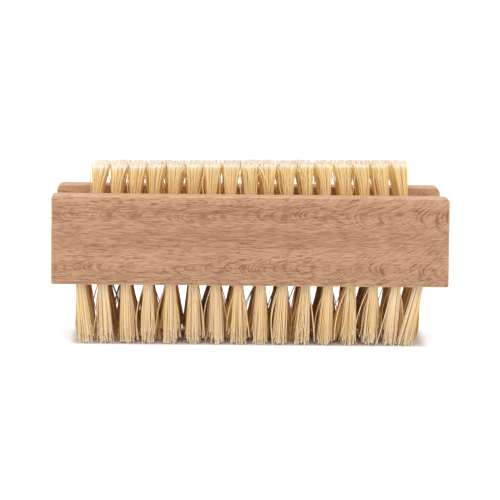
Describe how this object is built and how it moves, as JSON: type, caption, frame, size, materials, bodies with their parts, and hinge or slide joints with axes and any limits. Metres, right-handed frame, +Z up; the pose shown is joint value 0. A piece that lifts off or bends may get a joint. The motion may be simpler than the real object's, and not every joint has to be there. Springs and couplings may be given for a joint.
{
  "type": "nail brush",
  "caption": "Two-sided wooden nail brush: a channelled beech block with long plant-fibre tufts under it and short ones in the channel, each stapled in a blind hole.",
  "frame": {"origin": "on the ground under the middle of the block, in the plane where the lower tufts are trimmed", "axes": "+X along the block, to the right seen from the front; +Y from the front face to the back; +Z up"},
  "size_m": [0.095, 0.04, 0.043],
  "materials": {
    "beech": "sanded, unvarnished",
    "plant_fibre": "natural, dry",
    "staple_wire": "plain wire"
  },
  "bodies": {
    "root": {"lower_staples": "staple_wire", "lower_tufts_column_01": "plant_fibre", "lower_tufts_column_02": "plant_fibre", "lower_tufts_column_03": "plant_fibre", "lower_tufts_column_04": "plant_fibre", "lower_tufts_column_05": "plant_fibre", "lower_tufts_column_06": "plant_fibre", "lower_tufts_column_07": "plant_fibre", "lower_tufts_column_08": "plant_fibre", "lower_tufts_column_09": "plant_fibre", "lower_tufts_column_10": "plant_fibre", "lower_tufts_column_11": "plant_fibre", "lower_tufts_column_12": "plant_fibre", "lower_tufts_column_13": "plant_fibre", "lower_tufts_column_14": "plant_fibre", "lower_tufts_column_15": "plant_fibre", "lower_tufts_column_16": "plant_fibre", "upper_staples": "staple_wire", "upper_tufts_column_01": "plant_fibre", "upper_tufts_column_02": "plant_fibre", "upper_tufts_column_03": "plant_fibre", "upper_tufts_column_04": "plant_fibre", "upper_tufts_column_05": "plant_fibre", "upper_tufts_column_06": "plant_fibre", "upper_tufts_column_07": "plant_fibre", "upper_tufts_column_08": "plant_fibre", "upper_tufts_column_09": "plant_fibre", "upper_tufts_column_10": "plant_fibre", "upper_tufts_column_11": "plant_fibre", "upper_tufts_column_12": "plant_fibre", "upper_tufts_column_13": "plant_fibre", "upper_tufts_column_14": "plant_fibre", "upper_tufts_column_15": "plant_fibre", "upper_tufts_column_16": "plant_fibre", "upper_tufts_column_17": "plant_fibre", "wood_block": "beech"}
  },
  "joints": []
}
